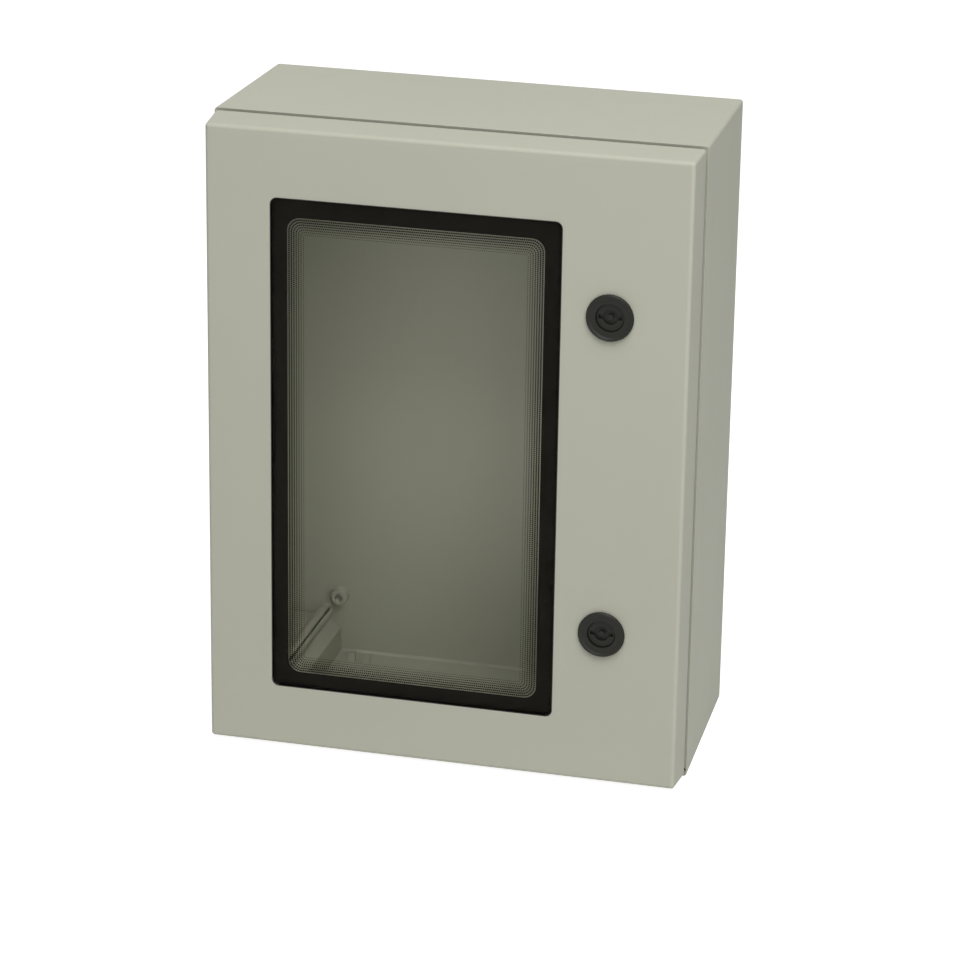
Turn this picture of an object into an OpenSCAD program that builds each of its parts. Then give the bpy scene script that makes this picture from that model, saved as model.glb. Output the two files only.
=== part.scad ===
// Wall-mounted electrical enclosure: moulded case, hinged door with a bonded window,
// two quarter-turn locks. Millimetres, +Z up, +Y towards the wall.
// The origin is the centre of the flat back that rests on the wall.

/* [Case] */
// Width over the case rim
case_w = 300; // [260:1:420]
// Height over the case rim
case_h = 400; // [360:1:600]
// Depth from the wall face to the door's front face
case_d = 150; // [130:1:220]
// Thickness of the case walls and of its back
case_wall = 3.5; // [3:0.1:4.5]
// How far each case side draws in between the rim and the wall face
case_draft = 2.2; // [1:0.1:4]
// Corner radius of the case, seen from the front
case_corner_r = 2; // [2:0.5:8]
// Rounding of the edge round the wall face
back_round_r = 4; // [2:0.5:6]

/* [Rim] */
// Thickness of the rim outside the rain gutter
rim_wall = 2.5; // [2:0.1:3]
// Depth of the rain gutter behind the rim's edge
gutter_depth = 4; // [3:0.5:6]
// Thickness of the gutter's floor, which the lock cams hook behind
gutter_floor = 3.5; // [3:0.1:5]
// Thickness of the sealing collar
collar_wall = 3; // [2.5:0.1:4]
// How far the sealing collar stands in front of the rim's edge
collar_h = 15; // [14:0.5:16]
// Corner radius of the collar's opening
collar_corner_r = 6; // [4:0.5:10]
// Radius of the rubber buffer on the rim, at its lower corner on the lock side
buffer_r = 0.8; // [0.6:0.1:1]
// Distance from the case's bottom to the rubber buffer
buffer_end = 4.6; // [4:0.1:20]

/* [Inside the case] */
// Wall fixing holes: distance from the case side to the hole
wall_hole_side = 45; // [40:1:60]
// Wall fixing holes: distance from the case end to the hole
wall_hole_end = 45; // [40:1:60]
// Wall fixing holes: bore radius
wall_hole_r = 2.75; // [2:0.25:3.5]
// Collar round each wall fixing hole: radius
wall_boss_r = 5.3; // [4.5:0.1:7]
// Collar round each wall fixing hole: height above the back
wall_boss_h = 7; // [4:0.5:10]
// Corner column: reach from the case side
column_w = 45; // [40:1:48]
// Corner column: reach from the case end
column_h = 30; // [26:1:34]
// Corner column: width and height of the cut on its free edge
column_cut = 8; // [5:1:10]
// Corner column: wall thickness round its pocket
column_wall = 3; // [2.5:0.1:4]
// Space between the gutter's floor and the front of the columns
column_setback = 20; // [16:1:40]
// Screw channel on each column: radius
channel_r = 5; // [4.5:0.1:6]
// Screw channel on each column: bore radius
channel_bore_r = 2.2; // [1.8:0.1:2.6]
// Screw channel on each column: width of its slit
channel_slit = 1.4; // [1:0.1:1.8]
// Stop posts on the floor of the case: width
post_w = 5; // [3:0.5:7]
// Stop posts: height above the case's inner floor
post_h = 7; // [5:0.5:12]
// Stop posts: distance between the two posts of a pair
post_pitch = 10; // [8:0.5:14]
// Stop posts: distance from the case side to the middle of a pair
post_side = 62; // [56:1:80]
// Stop posts: distance from the inner back to the posts
post_setback = 18; // [12:1:30]

/* [Door] */
// Depth of the door's skirt, from its front face to its back edge
door_t = 25.3; // [24:0.1:28]
// Gap between the door's skirt and the case rim
door_gap = 2; // [1.5:0.1:2.5]
// How much smaller than the case the door's back edge is, on each side
door_inset = 1.1; // [0.8:0.1:1.6]
// How far each side of the skirt draws in towards the front
door_draft = 1.5; // [1:0.1:2]
// Thickness of the door's face
door_wall = 3; // [2.5:0.1:4]
// Thickness of the door's skirt
skirt_wall = 2.5; // [2:0.1:3]
// Corner radius of the door's back edge
door_corner_r = 2; // [2:0.5:5]
// Rounding of the edge round the door's face
front_round_r = 2.5; // [1.5:0.25:3]
// Thickness of the two ribs that hold the gasket
rib_t = 2; // [1.6:0.1:2.5]
// Width of the gasket
gasket_w = 6.6; // [6:0.1:8]
// Thickness of the frame wall behind the face, round the pane's recess
frame_wall = 2.5; // [2:0.1:3]

/* [Window] */
// Distance from the case's hinge side to the pane
window_side = 43; // [41:0.1:60]
// Width left beside the pane for the locks
window_lock_side = 80; // [76:0.1:100]
// Distance from the case's top to the pane
window_top = 45; // [41:1:70]
// Distance from the case's bottom to the pane
window_bottom = 42; // [41:1:70]
// Thickness of the pane
pane_t = 3; // [3:0.5:5]
// Corner radius of the pane
pane_corner_r = 4; // [3:0.5:8]
// Gap round the pane in its recess
pane_gap = 0.5; // [0.3:0.1:0.8]
// Thickness of the black print on the back of the pane
print_t = 0.2; // [0.1:0.05:0.3]
// Width of the solid black print
print_w = 10.5; // [9:0.5:14]
// Thickness of the adhesive bed
bond_t = 0.8; // [0.5:0.1:1.5]
// Width of the adhesive bed
bond_w = 7.5; // [6:0.5:8.5]
// Width of the ledge that carries the pane
ledge_w = 8.5; // [8.5:0.5:12]
// Thickness of the ledge that carries the pane
ledge_t = 2.5; // [2:0.1:4]

/* [Hinges] */
// Distance from the case's end to the middle of each hinge
hinge_end = 70; // [50:1:100]
// Distance from the rim's edge forward to the hinge axis
hinge_fwd = 10; // [9.5:0.1:10.5]
// Radius of the hinge knuckles
knuckle_r = 3.4; // [3:0.1:3.6]
// Radius of the hinge pins
pin_r = 1.5; // [1.2:0.1:1.8]
// Radius of the hinge pins' heads
pin_head_r = 2.5; // [2:0.1:3]
// Thickness of the hinge pins' heads
pin_head_t = 1.2; // [0.8:0.1:2]
// Height of each knuckle on the case
ear_h = 8; // [6:0.5:12]
// Height of the barrel on the door's hinge leaf
barrel_h = 18; // [12:1:26]
// Thickness of the hinge leaf
leaf_t = 2; // [1.6:0.1:2.4]
// Thickness of the web between the leaf's plate and its barrel
leaf_web = 4; // [3:0.1:5]
// Radius of the hinge leaf's screws
leaf_screw_r = 1.75; // [1.5:0.05:2]
// Length of the hinge leaf's screws
leaf_screw_l = 8; // [6:0.5:9]

/* [Locks] */
// Distance from the case's lock side to the lock axes
lock_side = 50; // [48:0.5:52]
// Distance from the case's end to each lock axis
lock_end = 100; // [80:1:130]
// Radius of the lock's flange
lock_flange_r = 14.4; // [13:0.1:16]
// Thickness of the lock's flange
lock_flange_t = 1.9; // [1.5:0.1:4]
// Radius of the lock's threaded barrel
lock_barrel_r = 11; // [10:0.1:12]
// Thickness of the seal under the flange
lock_seal_t = 0.6; // [0.4:0.1:1.2]
// How much smaller than the flange the seal is, all round
seal_margin = 0.8; // [0.5:0.1:1.2]
// Radius of the turning insert's head
insert_r = 8.3; // [8:0.1:9]
// Thickness of the turning insert's head
insert_head_t = 12; // [10:0.5:14]
// How far the insert's face lies behind the flange's front
insert_recess = 0.8; // [0.2:0.1:1]
// Radius of the turning insert's shaft
shaft_r = 6; // [5:0.1:7]
// Radius of the key socket
socket_r = 4.6; // [4:0.1:5]
// Depth of the key socket
socket_depth = 6; // [5:0.5:10]
// Radius of the guide pin in the socket
guide_pin_r = 1.7; // [1.2:0.1:2]
// How far the guide pin's end lies behind the insert's face
guide_pin_recess = 0.6; // [0.3:0.1:2]
// Span of the two key wings
wing_span = 14.2; // [12:0.1:14.4]
// Width of the two key wings
wing_w = 2.6; // [2:0.1:3]
// Thickness of the lock nut
nut_t = 6; // [4:0.5:8]
// Wall of the lock nut, from the barrel to its corners
nut_wall = 5; // [4:0.5:6]
// Thickness of the cam
cam_t = 2.5; // [2:0.1:3.5]
// Width of the cam
cam_w = 18; // [16:0.5:22]
// How far the cam's round eye stands out past its width
cam_eye = 1; // [0.5:0.5:2]
// How far the cam reaches behind the gutter's floor
cam_hook = 14; // [10:0.5:15]
// Side of the square that drives the cam
drive_side = 8; // [7:0.1:8.2]
// Radius of the cam screw
cam_screw_r = 2.5; // [2:0.1:2.8]
// Length of the cam screw
cam_screw_l = 14; // [10:1:16]
// Thickness of the cam washer
washer_t = 1.5; // [1:0.1:2]

/* [Fits] */
// Radial clearance of a pin or shaft that turns
run_clear = 0.05; // [0.02:0.01:0.08]
// Clearance between faces that move past each other
move_clear = 0.4; // [0.3:0.05:0.5]
// Clearance of a piece that is set into another
set_clear = 0.1; // [0.05:0.05:0.2]
// Clearance between the swinging skirt and the collar
swing_clear = 1; // [0.8:0.1:1.5]

/* [Hidden] */
$fn = 64;

grey = [0.69, 0.69, 0.63];
black = [0.1, 0.1, 0.09];
steel = [0.72, 0.73, 0.75];
rubber = [0.16, 0.16, 0.15];
skin = 0.02;
cut = 1;
round_steps = 6;
least_corner_r = 0.5;

// Planes along the depth, from the wall (y = 0) to the front
back_in_y = -case_wall;
face_y = -case_d;
face_in_y = face_y + door_wall;
skirt_end_y = face_y + door_t;
rim_y = skirt_end_y + door_gap;
gutter_y = rim_y + gutter_depth;
floor_back_y = gutter_y + gutter_floor;
collar_tip_y = rim_y - collar_h;
column_y = floor_back_y + column_setback;

// Hinge axis, clear of the skirt's inner face, and the circle that the skirt's edge sweeps
hinge_z = case_h / 2 - hinge_end;
hinge_y = rim_y - hinge_fwd;
hinge_to_edge = hinge_fwd - door_gap;
skirt_in_at_hinge = door_inset + door_draft * hinge_to_edge / door_t + skirt_wall;
hinge_side = skirt_in_at_hinge + move_clear + knuckle_r;
hinge_x = hinge_side - case_w / 2;
sweep_r = norm([hinge_side - door_inset, hinge_to_edge]);
relief_r = hinge_fwd - move_clear;
ear_span = barrel_h / 2 + move_clear;
pin_l = 2 * (ear_span + ear_h);

// Sealing collar, just outside that circle, and the gasket that it meets
collar_side = hinge_side + sweep_r + swing_clear;
opening_side = collar_side + collar_wall;
gasket_side = collar_side + collar_wall / 2 - gasket_w / 2;
rib_end_y = hinge_y - knuckle_r - move_clear;
gasket_end_y = collar_tip_y - move_clear;

// Hinge leaf on the door
leaf_y = hinge_y - knuckle_r - 2 * move_clear - leaf_t;
leaf_l = pin_l;
leaf_left = hinge_x - knuckle_r + move_clear;
leaf_right = -case_w / 2 + gasket_side - rib_t - 2 * move_clear;
leaf_screw_x = (leaf_left + leaf_right) / 2;
leaf_screw_z = ear_span + ear_h / 2;

// Window
pane_w = case_w - window_side - window_lock_side;
pane_h = case_h - window_top - window_bottom;
window_x = (window_side - window_lock_side) / 2;
window_z = (window_bottom - window_top) / 2;
print_y = face_y + pane_t;
bond_y = print_y + print_t;
ledge_y = bond_y + bond_t;

// Locks
lock_x = case_w / 2 - lock_side;
lock_z = case_h / 2 - lock_end;
flange_y = face_y - lock_seal_t;
lock_front_y = flange_y - lock_flange_t;
insert_front_y = lock_front_y + insert_recess;
cam_y = floor_back_y + move_clear;
barrel_end_y = cam_y - move_clear / 2;
cam_end_y = cam_y + cam_t;
cam_l = lock_side - opening_side + cam_hook;
nut_r = lock_barrel_r + nut_wall;
lock_hole_r = lock_barrel_r + 2 * set_clear;
seal_out_r = lock_flange_r - seal_margin;
washer_r = drive_side;
screw_head_r = 2 * cam_screw_r;
screw_head_t = 1.6 * cam_screw_r;

// A rectangle with round corners, centred
module round_rect(w, h, r) {
    square([w - 2 * r, h], center = true);
    square([w, h - 2 * r], center = true);
    for (sx = [-1, 1], sz = [-1, 1])
        translate([sx * (w / 2 - r), sz * (h / 2 - r)]) circle(r);
}

// A plate from y0 to y1, inset from the case's outline
module plate(y0, y1, inset, r) {
    translate([0, y1, 0]) rotate([90, 0, 0]) linear_extrude(y1 - y0)
        round_rect(case_w - 2 * inset, case_h - 2 * inset, r);
}

// A ring from y0 to y1 that follows the case's outline
module ring(y0, y1, inset, wall, r) {
    difference() {
        plate(y0, y1, inset, r + wall);
        plate(y0 - cut, y1 + cut, inset + wall, r);
    }
}

// A plate from y0 to y1, inset from the pane's outline
module window_plate(y0, y1, inset, r) {
    translate([window_x, y1, window_z]) rotate([90, 0, 0]) linear_extrude(y1 - y0)
        round_rect(pane_w - 2 * inset, pane_h - 2 * inset, r);
}

// A rod along the depth, from y0 to y1
module rod_y(y0, y1, r) {
    translate([0, y1, 0]) rotate([90, 0, 0]) cylinder(h = y1 - y0, r = r);
}

// A thin plate at y, on the side that dir points to
module slab(y, dir, inset, r) {
    plate(min(y, y + dir * skin), max(y, y + dir * skin), inset, r, $fn = 32);
}

// A round-edged block: its sides draw in from inset0 at y0 to inset1 at y1, where the edge is rounded
module round_shell(y0, y1, inset0, inset1, r0, edge_r) {
    dir = sign(y1 - y0);
    hull() {
        slab(y0, dir, inset0, r0);
        for (i = [0:round_steps]) {
            turn = 90 * i / round_steps;
            drawn = edge_r * (1 - cos(turn));
            slab(y1 - dir * edge_r * (1 - sin(turn)), -dir, inset1 + drawn, max(r0 - drawn, r0 / 3));
        }
    }
}

// A hollow whose sides draw in from inset0 at y0 to inset1 at y1
module drawn_hollow(y0, y1, inset0, inset1, r) {
    dir = sign(y1 - y0);
    hull() {
        slab(y0, dir, inset0, r);
        slab(y1, -dir, inset1, r);
    }
}

// Everything drawn once for the left bottom corner, repeated in all four corners
module four_corners() {
    for (mx = [0, 1], mz = [0, 1])
        mirror([mx, 0, 0]) mirror([0, 0, mz])
            translate([-case_w / 2, 0, -case_h / 2]) children();
}

// Corner column with its pocket and the slit screw channel on its top edge
channel_u = column_w - column_cut - channel_r / 2;
channel_v = column_h + channel_bore_r + move_clear;
column_root = case_draft + case_wall / 4;
column_bevel = column_root + case_corner_r;

module column_body() {
    translate([0, back_in_y + cut, 0]) rotate([90, 0, 0])
        linear_extrude(back_in_y + cut - column_y)
            polygon([[column_root, column_bevel], [column_root, column_h],
                     [column_w - column_cut, column_h], [column_w, column_h - column_cut],
                     [column_w, column_root], [column_bevel, column_root]]);
    translate([channel_u, 0, channel_v]) rod_y(column_y, back_in_y + cut, channel_r);
}

module column_pocket() {
    low = case_draft + case_wall + column_wall;
    translate([0, back_in_y - column_wall, 0]) rotate([90, 0, 0])
        linear_extrude(back_in_y - column_wall - column_y + cut)
            polygon([[low, low], [low, column_h - column_wall],
                     [column_w - column_cut - column_wall / 2, column_h - column_wall],
                     [column_w - column_wall, column_h - column_cut - column_wall / 2],
                     [column_w - column_wall, low]]);
    translate([channel_u, 0, channel_v]) {
        rod_y(column_y - cut, back_in_y, channel_bore_r);
        rotate([0, -45, 0]) translate([0, column_y - cut, -channel_slit / 2])
            cube([channel_r + cut, back_in_y - column_y + cut, channel_slit]);
    }
}

// Two knuckles on an arm from the collar
module case_ears(z) {
    for (s = [-1, 1])
        translate([hinge_x, hinge_y, z + s * (ear_span + ear_h / 2)]) {
            cylinder(h = ear_h, r = knuckle_r, center = true);
            translate([0, -knuckle_r, -ear_h / 2])
                cube([collar_side - hinge_side + collar_wall / 2, knuckle_r + move_clear, ear_h]);
        }
}

module ear_bores(z) {
    translate([hinge_x, hinge_y, z])
        cylinder(h = pin_l + 2 * cut, r = pin_r + run_clear / 2, center = true);
}

// Stop posts on the inner floor
module floor_posts() {
    floor_z = -case_h / 2 + case_draft + case_wall / 2;
    for (side = [-1, 1], s = [-0.5, 0.5])
        translate([side * (case_w / 2 - post_side) + s * post_pitch - post_w / 2,
                   back_in_y - post_setback, floor_z])
            cube([post_w, post_w / 2, case_wall / 2 + post_h]);
}

// The rain gutter between the rim and the collar
module gutter() {
    difference() {
        plate(rim_y - cut, gutter_y, rim_wall, max(case_corner_r - rim_wall, least_corner_r));
        plate(rim_y - 2 * cut, gutter_y + cut, collar_side, collar_corner_r + collar_wall);
    }
}

module case_shell() color(grey) {
    difference() {
        union() {
            difference() {
                round_shell(rim_y, 0, 0, case_draft, case_corner_r, back_round_r);
                drawn_hollow(floor_back_y, back_in_y, case_wall, case_draft + case_wall,
                             case_corner_r - cut);
            }
            ring(collar_tip_y, rim_y + cut, collar_side, collar_wall, collar_corner_r);
            four_corners() {
                column_body();
                translate([wall_hole_side, 0, wall_hole_end])
                    rod_y(back_in_y - wall_boss_h, back_in_y + cut, wall_boss_r);
            }
            for (z = [-hinge_z, hinge_z]) case_ears(z);
            floor_posts();
        }
        gutter();
        plate(collar_tip_y - cut, floor_back_y + cut, opening_side, collar_corner_r);
        four_corners() {
            column_pocket();
            translate([wall_hole_side, 0, wall_hole_end])
                rod_y(back_in_y - wall_boss_h - cut, cut, wall_hole_r);
        }
        for (z = [-hinge_z, hinge_z]) ear_bores(z);
    }
}

// Rubber buffer on the rim's edge, just clear of the door's skirt
module rim_buffer() color(rubber)
    translate([case_w / 2 - rim_wall / 2, 0, buffer_end - case_h / 2])
        rod_y(skirt_end_y + move_clear, rim_y, buffer_r);

// Hinge pin with a small head, pressed into the case's knuckles from above
module hinge_pin(z) color(steel) {
    translate([hinge_x, hinge_y, z - pin_l / 2]) {
        cylinder(h = pin_l, r = pin_r);
        translate([0, 0, pin_l]) cylinder(h = pin_head_t, r = pin_head_r);
    }
}

// Pads inside the door face that the hinge leaves are screwed to
module leaf_pads() {
    for (z = [-hinge_z, hinge_z])
        translate([leaf_left, face_in_y - cut, z - leaf_l / 2])
            cube([leaf_right - leaf_left, leaf_y - face_in_y + cut, leaf_l]);
}

module leaf_screw_places(z) {
    for (s = [-1, 1])
        translate([leaf_screw_x, 0, z + s * leaf_screw_z]) children();
}

// What the skirt loses on the hinge side, so that its edge clears the rim as the door swings
module swing_relief() {
    difference() {
        translate([-case_w / 2 - cut, hinge_y, -case_h / 2 - cut])
            cube([hinge_side + cut, hinge_to_edge + cut, case_h + 2 * cut]);
        translate([hinge_x, hinge_y, 0]) cylinder(h = case_h + 4 * cut, r = relief_r, center = true);
    }
}

module door_panel() color(grey) {
    difference() {
        union() {
            difference() {
                round_shell(skirt_end_y, face_y, door_inset, door_inset + door_draft,
                            door_corner_r, front_round_r);
                drawn_hollow(skirt_end_y + cut, face_in_y, door_inset + skirt_wall,
                             door_inset + door_draft + skirt_wall, door_corner_r - cut);
            }
            ring(face_in_y - cut, rib_end_y, gasket_side - set_clear - rib_t, rib_t, collar_corner_r);
            ring(face_in_y - cut, rib_end_y, gasket_side + gasket_w + set_clear, rib_t, collar_corner_r);
            window_plate(face_in_y - cut, ledge_y + ledge_t, -pane_gap - frame_wall,
                         pane_corner_r + pane_gap + frame_wall);
            leaf_pads();
        }
        swing_relief();
        window_plate(face_y - cut, ledge_y, -pane_gap, pane_corner_r + pane_gap);
        window_plate(face_y, ledge_y + ledge_t + cut, ledge_w, pane_corner_r);
        for (z = [-lock_z, lock_z])
            translate([lock_x, 0, z]) rod_y(face_y - cut, face_in_y + cut, lock_hole_r);
        for (z = [-hinge_z, hinge_z])
            leaf_screw_places(z)
                rod_y(leaf_y + leaf_t - leaf_screw_l - set_clear, leaf_y + cut,
                      leaf_screw_r + set_clear / 2);
    }
}

module window_pane() color([0.75, 0.8, 0.78, 0.35])
    window_plate(face_y, print_y, 0, pane_corner_r);

module window_print() color(black)
    difference() {
        window_plate(print_y, bond_y, 0, pane_corner_r);
        window_plate(print_y - cut, bond_y + cut, print_w, 2 * pane_corner_r);
    }

module window_bond() color(black)
    difference() {
        window_plate(bond_y, ledge_y, 0, pane_corner_r);
        window_plate(bond_y - cut, ledge_y + cut, bond_w, pane_corner_r);
    }

module door_gasket() color(rubber)
    ring(face_in_y, gasket_end_y, gasket_side, gasket_w, collar_corner_r);

// Hinge leaf: a plate on the door's pad, a web and the barrel between the case's knuckles
module hinge_leaf(z) color(steel)
    difference() {
        union() {
            translate([leaf_left, leaf_y, z - leaf_l / 2])
                cube([leaf_right - leaf_left, leaf_t, leaf_l]);
            translate([hinge_x - leaf_web / 2, leaf_y, z - barrel_h / 2])
                cube([leaf_web, hinge_y - leaf_y, barrel_h]);
            translate([hinge_x, hinge_y, z]) cylinder(h = barrel_h, r = knuckle_r, center = true);
        }
        translate([hinge_x, hinge_y, z])
            cylinder(h = barrel_h + 2 * cut, r = pin_r + run_clear, center = true);
        leaf_screw_places(z) {
            rod_y(leaf_y - cut, leaf_y + leaf_t + cut, leaf_screw_r + set_clear);
            countersink(set_clear);
        }
    }

// The cone under a leaf screw's flush head
module countersink(extra) {
    translate([0, leaf_y + leaf_t, 0]) rotate([90, 0, 0])
        cylinder(h = leaf_screw_r, r1 = 2 * leaf_screw_r + extra, r2 = leaf_screw_r + extra);
}

// Two countersunk screws with a cross recess
module leaf_screws(z) color(steel)
    leaf_screw_places(z)
        difference() {
            union() {
                rod_y(leaf_y + leaf_t - leaf_screw_l, leaf_y + leaf_t, leaf_screw_r);
                countersink(0);
            }
            for (turn = [0, 90])
                translate([0, leaf_y + leaf_t, 0]) rotate([0, turn, 0])
                    cube([2 * leaf_screw_r, leaf_screw_r, leaf_screw_r / 3], center = true);
        }

// Lock housing: dished flange and threaded barrel, bored for the insert
module lock_housing(z) color(black)
    translate([lock_x, 0, z])
        difference() {
            union() {
                translate([0, flange_y, 0]) rotate([90, 0, 0])
                    cylinder(h = lock_flange_t, r1 = lock_flange_r, r2 = lock_flange_r - lock_flange_t / 2);
                rod_y(flange_y - cut, barrel_end_y, lock_barrel_r);
            }
            rod_y(lock_front_y - cut, insert_front_y + insert_head_t + move_clear, insert_r + run_clear);
            rod_y(lock_front_y, barrel_end_y + cut, shaft_r + run_clear);
        }

module lock_seal(z) color(rubber)
    translate([lock_x, 0, z])
        difference() {
            rod_y(flange_y, face_y, seal_out_r);
            rod_y(flange_y - cut, face_y + cut, lock_hole_r);
        }

module lock_nut(z) color(black)
    translate([lock_x, 0, z])
        difference() {
            translate([0, face_in_y + nut_t, 0]) rotate([90, 0, 0])
                cylinder(h = nut_t, r = nut_r, $fn = 6);
            rod_y(face_in_y - cut, face_in_y + nut_t + cut, lock_barrel_r + set_clear / 2);
        }

// Turning insert: head with the key socket, shaft, and the square that drives the cam
module lock_insert(z) color(black)
    translate([lock_x, 0, z])
        difference() {
            union() {
                difference() {
                    rod_y(insert_front_y, insert_front_y + insert_head_t, insert_r);
                    rod_y(insert_front_y - cut, insert_front_y + socket_depth, socket_r);
                    translate([-wing_span / 2, insert_front_y - cut, -wing_w / 2])
                        cube([wing_span, socket_depth + cut, wing_w]);
                }
                rod_y(insert_front_y + guide_pin_recess, insert_front_y + insert_head_t, guide_pin_r);
                rod_y(insert_front_y + insert_head_t - cut, cam_y, shaft_r);
                translate([-drive_side / 2, cam_y - cut, -drive_side / 2])
                    cube([drive_side, cam_t + cut - set_clear, drive_side]);
            }
            rod_y(cam_end_y + washer_t - cam_screw_l - set_clear, cam_end_y, cam_screw_r + set_clear / 2);
        }

// Flat cam, hanging down while the door is unlocked
module lock_cam(z) color(steel)
    translate([lock_x, cam_end_y, z]) rotate([90, 0, 0])
        difference() {
            union() {
                cylinder(h = cam_t, r = cam_w / 2 + cam_eye);
                translate([-cam_w / 2, cam_w / 4 - cam_l, 0])
                    cube([cam_w, cam_l - cam_w / 4, cam_t]);
                translate([-cam_w / 4, -cam_l, 0]) cube([cam_w / 2, cam_l, cam_t]);
                for (s = [-1, 1])
                    translate([s * cam_w / 4, cam_w / 4 - cam_l, 0])
                        cylinder(h = cam_t, r = cam_w / 4);
            }
            translate([-drive_side / 2 - set_clear, -drive_side / 2 - set_clear, -cut])
                cube([drive_side + 2 * set_clear, drive_side + 2 * set_clear, cam_t + 2 * cut]);
        }

module cam_washer(z) color(steel)
    translate([lock_x, 0, z])
        difference() {
            rod_y(cam_end_y, cam_end_y + washer_t, washer_r);
            rod_y(cam_end_y - cut, cam_end_y + washer_t + cut, cam_screw_r + set_clear);
        }

module cam_screw(z) color(steel)
    translate([lock_x, 0, z]) {
        rod_y(cam_end_y + washer_t - cam_screw_l, cam_end_y + washer_t, cam_screw_r);
        translate([0, cam_end_y + washer_t + screw_head_t, 0]) rotate([90, 0, 0])
            cylinder(h = screw_head_t, r = screw_head_r, $fn = 6);
    }

case_shell();
rim_buffer();
hinge_pin(hinge_z);  // hinge_pin_upper
hinge_pin(-hinge_z);  // hinge_pin_lower
door_panel();
window_pane();
window_print();
window_bond();
door_gasket();
hinge_leaf(hinge_z);  // hinge_leaf_upper
hinge_leaf(-hinge_z);  // hinge_leaf_lower
leaf_screws(hinge_z);  // leaf_screws_upper
leaf_screws(-hinge_z);  // leaf_screws_lower
lock_housing(lock_z);  // lock_housing_upper
lock_housing(-lock_z);  // lock_housing_lower
lock_seal(lock_z);  // lock_seal_upper
lock_seal(-lock_z);  // lock_seal_lower
lock_nut(lock_z);  // lock_nut_upper
lock_nut(-lock_z);  // lock_nut_lower
lock_insert(lock_z);  // lock_insert_upper
lock_insert(-lock_z);  // lock_insert_lower
lock_cam(lock_z);  // lock_cam_upper
lock_cam(-lock_z);  // lock_cam_lower
cam_washer(lock_z);  // cam_washer_upper
cam_washer(-lock_z);  // cam_washer_lower
cam_screw(lock_z);  // cam_screw_upper
cam_screw(-lock_z);  // cam_screw_lower
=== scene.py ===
# Wall-mounted electrical enclosure: a moulded case, a shallow hinged door with a bonded
# window, and two quarter-turn locks. Metres, +Z up, +Y towards the wall.
import math

import bmesh
import bpy
from mathutils import Matrix, Vector


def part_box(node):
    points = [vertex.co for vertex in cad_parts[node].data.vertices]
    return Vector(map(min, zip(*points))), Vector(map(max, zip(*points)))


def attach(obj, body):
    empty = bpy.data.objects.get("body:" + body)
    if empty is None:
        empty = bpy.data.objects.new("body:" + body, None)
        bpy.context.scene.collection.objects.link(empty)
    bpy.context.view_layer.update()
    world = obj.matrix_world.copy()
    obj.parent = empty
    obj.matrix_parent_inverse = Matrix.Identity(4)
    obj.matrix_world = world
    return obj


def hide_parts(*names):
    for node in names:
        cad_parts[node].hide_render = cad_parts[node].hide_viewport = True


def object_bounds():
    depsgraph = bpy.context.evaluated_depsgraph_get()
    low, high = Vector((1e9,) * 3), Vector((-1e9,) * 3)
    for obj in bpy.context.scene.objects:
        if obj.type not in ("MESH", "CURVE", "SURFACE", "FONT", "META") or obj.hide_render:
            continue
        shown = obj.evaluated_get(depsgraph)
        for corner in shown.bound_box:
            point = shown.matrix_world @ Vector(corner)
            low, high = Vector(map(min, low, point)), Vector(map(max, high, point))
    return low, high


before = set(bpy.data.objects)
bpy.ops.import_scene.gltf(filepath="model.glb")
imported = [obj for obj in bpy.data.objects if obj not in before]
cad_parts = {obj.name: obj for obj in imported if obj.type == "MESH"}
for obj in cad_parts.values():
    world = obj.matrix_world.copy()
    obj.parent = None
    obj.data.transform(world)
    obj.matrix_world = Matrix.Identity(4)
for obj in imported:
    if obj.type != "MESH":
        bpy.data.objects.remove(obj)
cad_low, cad_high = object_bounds()

# Case shell: the box that is screwed to the wall, one injection moulding in pebble-grey plastic.
# Its sides draw in towards the wall, a rain gutter runs round the rim, and a sealing collar
# stands up inside the gutter. Corner columns with screw channels are moulded in one with it.
MM = 0.001
case_low, case_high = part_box("case_shell")
door_low, door_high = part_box("door_panel")
gasket_low, gasket_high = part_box("door_gasket")
case_w = case_high.x - case_low.x
case_h = case_high.z - case_low.z
case_wall = 3.5 * MM
case_draft = 2.2 * MM
case_corner_r = 2 * MM
back_round_r = 4 * MM
door_gap = 2 * MM
rim_wall = 2.5 * MM
rim_fall = 0.5 * MM
gutter_depth = 4 * MM
gutter_floor = 3.5 * MM
collar_wall = 3 * MM
collar_corner_r = 6 * MM
gasket_w = 6.6 * MM
rim_y = door_high.y + door_gap
gutter_y = rim_y + gutter_depth
floor_back_y = gutter_y + gutter_floor
collar_tip_y = case_low.y
back_in_y = -case_wall
gasket_side = gasket_low.x - case_low.x
collar_side = gasket_side + (gasket_w - collar_wall) / 2
opening_side = collar_side + collar_wall
soft_edge = 0.6 * MM
crisp_edge = 0.25 * MM
least_corner_r = 0.5 * MM
inner_corner_r = case_corner_r - MM
back_fillet_r = 2 * MM
cap_margin = 8 * MM
cap_corner_r = 2 * MM
weld_gap = 0.001 * MM
sharp_edge = math.radians(40)


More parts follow.
